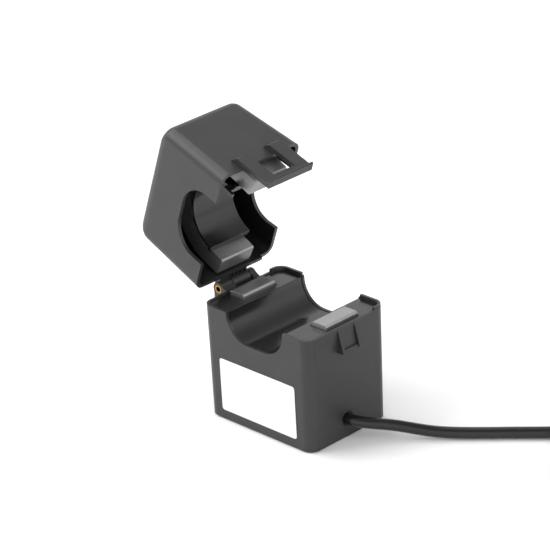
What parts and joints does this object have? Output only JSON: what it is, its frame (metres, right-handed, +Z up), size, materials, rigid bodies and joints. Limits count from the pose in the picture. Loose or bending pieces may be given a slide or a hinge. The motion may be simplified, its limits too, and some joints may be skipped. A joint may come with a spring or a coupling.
{
  "type": "split-core current transformer",
  "caption": "Split-core current transformer with its hinged lid open: moulded charcoal case, sprung upper core, ground pole faces, blank label and a coiled black lead",
  "frame": {"origin": "Centre of the lower case's underside, on the surface that it stands on", "axes": "+Z up. The measured cable runs along Y, with the label on the -Y side. The hinge is on the -X side, the latch and the lead on the +X side"},
  "size_m": [0.1896, 0.082, 0.0915],
  "materials": {
    "charcoal_plastic": "satin moulded flame-retardant plastic",
    "core_steel": "ground ends of stacked core strip",
    "pale_nylon": "natural nylon",
    "winding_copper": "enamelled copper wire",
    "amber_tape": "polyester winding tape",
    "board_green": "solder-masked glass laminate",
    "resistor_blue": "lacquered film resistor",
    "black_jacket": "shiny flexible cable jacket",
    "red_insulation": "wire insulation",
    "black_insulation": "wire insulation",
    "black_rubber": "moulded rubber",
    "label_white": "blank vinyl label",
    "pin_brass": "turned brass tube",
    "spring_steel": "rolled spring strip"
  },
  "bodies": {
    "lower": {"lower_case": "charcoal_plastic", "lower_saddle": "charcoal_plastic", "lower_core": "core_steel", "bobbin_top_half": "pale_nylon", "bobbin_bottom_half": "pale_nylon", "secondary_winding": "winding_copper", "winding_tape": "amber_tape", "circuit_board": "board_green", "burden_resistor": "resistor_blue", "clamp_diode": "black_jacket", "start_lead": "winding_copper", "finish_lead": "winding_copper", "red_wire": "red_insulation", "black_wire": "black_insulation", "cable_clamp": "pale_nylon", "exit_bush": "black_rubber", "name_label": "label_white", "hinge_pin": "pin_brass", "cable": "black_jacket", "cable_coil": "black_jacket", "cable_tail": "black_jacket", "coil_tie": "black_rubber", "end_sleeve": "black_rubber", "red_tail": "red_insulation", "black_tail": "black_insulation"},
    "lid": {"lid_case": "charcoal_plastic", "leaf_spring": "spring_steel"},
    "core_cartridge": {"core_carrier": "charcoal_plastic", "upper_core": "core_steel"}
  },
  "joints": [
    {"name": "lid_hinge", "type": "hinge", "parent": "lower", "child": "lid", "pos_m": [-0.0261, 0, 0.0377], "axis": [0, 1, 0], "range_deg": [0, 70]},
    {"name": "core_float", "type": "hinge", "parent": "lid", "child": "core_cartridge", "pos_m": [-0.02952, 0, 0.04437], "axis": [0, 1, 0], "range_deg": [-7.7, 0], "stiffness_Nm_per_rad": 0.05}
  ],
  "couplings": [
    {"joint": "core_float", "follows": "lid_hinge", "ratio": -0.11}
  ]
}
